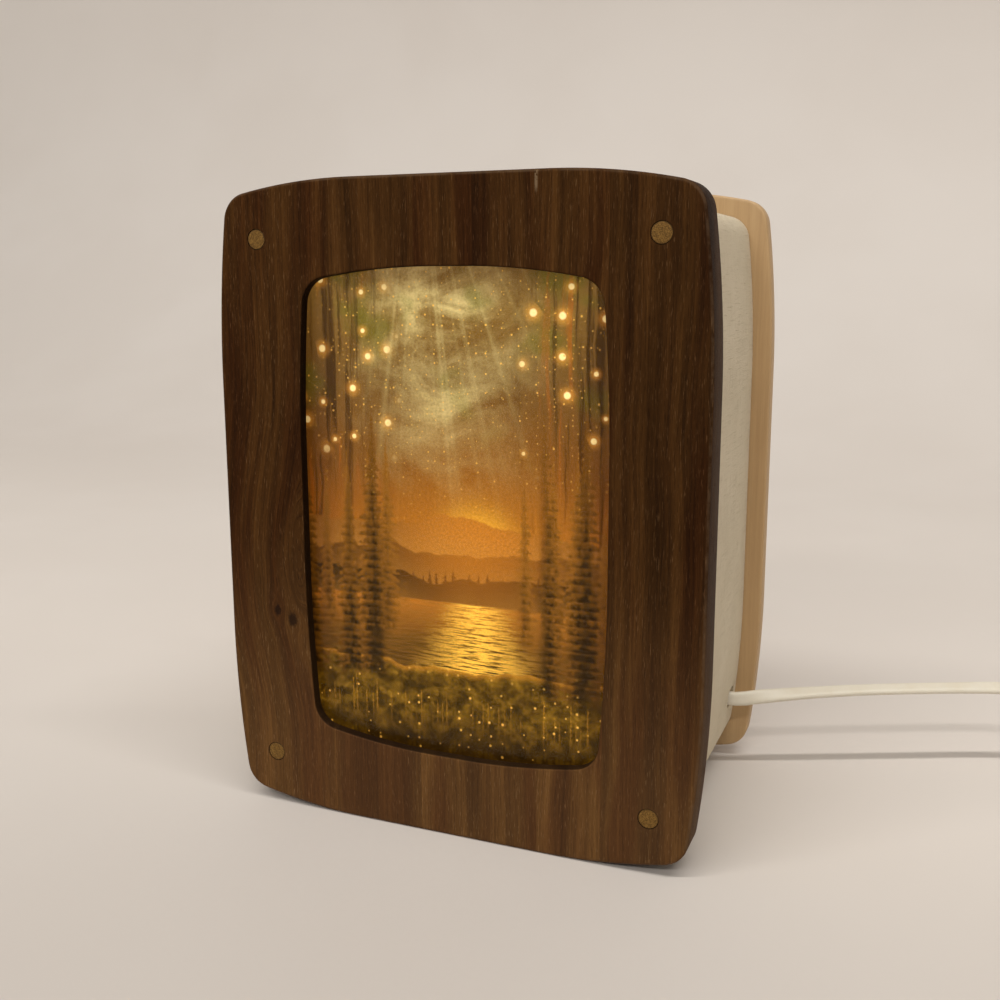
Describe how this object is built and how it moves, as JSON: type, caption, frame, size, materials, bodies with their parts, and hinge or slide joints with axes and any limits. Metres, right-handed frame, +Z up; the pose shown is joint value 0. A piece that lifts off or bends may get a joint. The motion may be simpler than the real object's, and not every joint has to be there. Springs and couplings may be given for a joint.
{
  "type": "postcard table lamp",
  "caption": "Box-shaped table lamp: bowed walnut frame with a backlit picture card, linen shade band, tan back board, flat cord with inline rocker switch and plug.",
  "frame": {"origin": "on the table, under the middle of the lamp's own box (without the free cord)", "axes": "+Z up; the picture faces -Y; the cord leaves the right side as seen from the front, +X"},
  "size_m": [0.3898, 0.1495, 0.194],
  "materials": {
    "walnut": "oiled walnut, fine upright grain, low sheen",
    "birch_plywood": "plain birch plywood, unfinished",
    "back_board": "light tan board, low sheen",
    "dowel_wood": "end grain of a light hardwood, sanded flush",
    "linen_shade": "off-white linen texture laminated on a stiff band",
    "clear_acrylic": "clear sheet",
    "card_print": "printed card, warm landscape in amber and olive",
    "opal_acrylic": "opal light-spreading sheet",
    "zinc_steel": "zinc plated",
    "brass": "plain brass",
    "holder_plastic": "white heat-proof moulding",
    "bulb_cap_metal": "bright screw cap",
    "bulb_housing_plastic": "white moulding",
    "bulb_globe_opal": "opal globe, lit",
    "cord_jacket": "cream flexible jacket, satin",
    "tie_plastic": "soft white tie",
    "cream_plastic": "cream moulding, fine satin texture",
    "rocker_plastic": "cream rocker",
    "pin_metal": "nickelled brass pins"
  },
  "bodies": {
    "lamp": {"front_ring": "birch_plywood", "rear_ring": "birch_plywood", "back_plate": "back_board", "shade_band": "linen_shade", "holder_bracket": "zinc_steel", "lampholder": "holder_plastic", "lampholder_thread": "brass", "lampholder_contact": "brass", "holder_nipple": "zinc_steel", "holder_nut": "zinc_steel", "bulb_cap": "bulb_cap_metal", "bulb_housing": "bulb_housing_plastic", "bulb_globe": "bulb_globe_opal", "cord_clamp": "cream_plastic", "inner_cord": "cord_jacket", "cord_to_switch": "cord_jacket", "cord_to_coil": "cord_jacket", "cord_coil": "cord_jacket", "cord_to_plug": "cord_jacket", "coil_tie_1": "tie_plastic", "coil_tie_2": "tie_plastic", "switch_base": "cream_plastic", "switch_cover": "cream_plastic", "switch_terminal_1": "brass", "switch_terminal_2": "brass", "plug_body": "cream_plastic", "plug_pin_1": "pin_metal", "plug_pin_2": "pin_metal", "dowel_upper_left": "dowel_wood", "dowel_upper_right": "dowel_wood", "dowel_lower_left": "dowel_wood", "dowel_lower_right": "dowel_wood", "bracket_screw_1": "zinc_steel", "bracket_screw_2": "zinc_steel", "clamp_screw": "zinc_steel", "switch_screw_1": "zinc_steel", "switch_screw_2": "zinc_steel"},
    "front_panel": {"front_frame": "walnut", "clear_pane": "clear_acrylic", "postcard": "card_print", "opal_sheet": "opal_acrylic", "card_retainer": "birch_plywood"},
    "rocker": {"switch_rocker": "rocker_plastic"}
  },
  "joints": [
    {"name": "front_pull", "type": "slide", "parent": "lamp", "child": "front_panel", "axis": [0, -1, 0], "range_m": [0, 0.03]},
    {"name": "rocker_tilt", "type": "hinge", "parent": "lamp", "child": "rocker", "pos_m": [0.205, 0.002, 0.0116], "axis": [-1, 0, 0], "range_deg": [0, 20]}
  ]
}
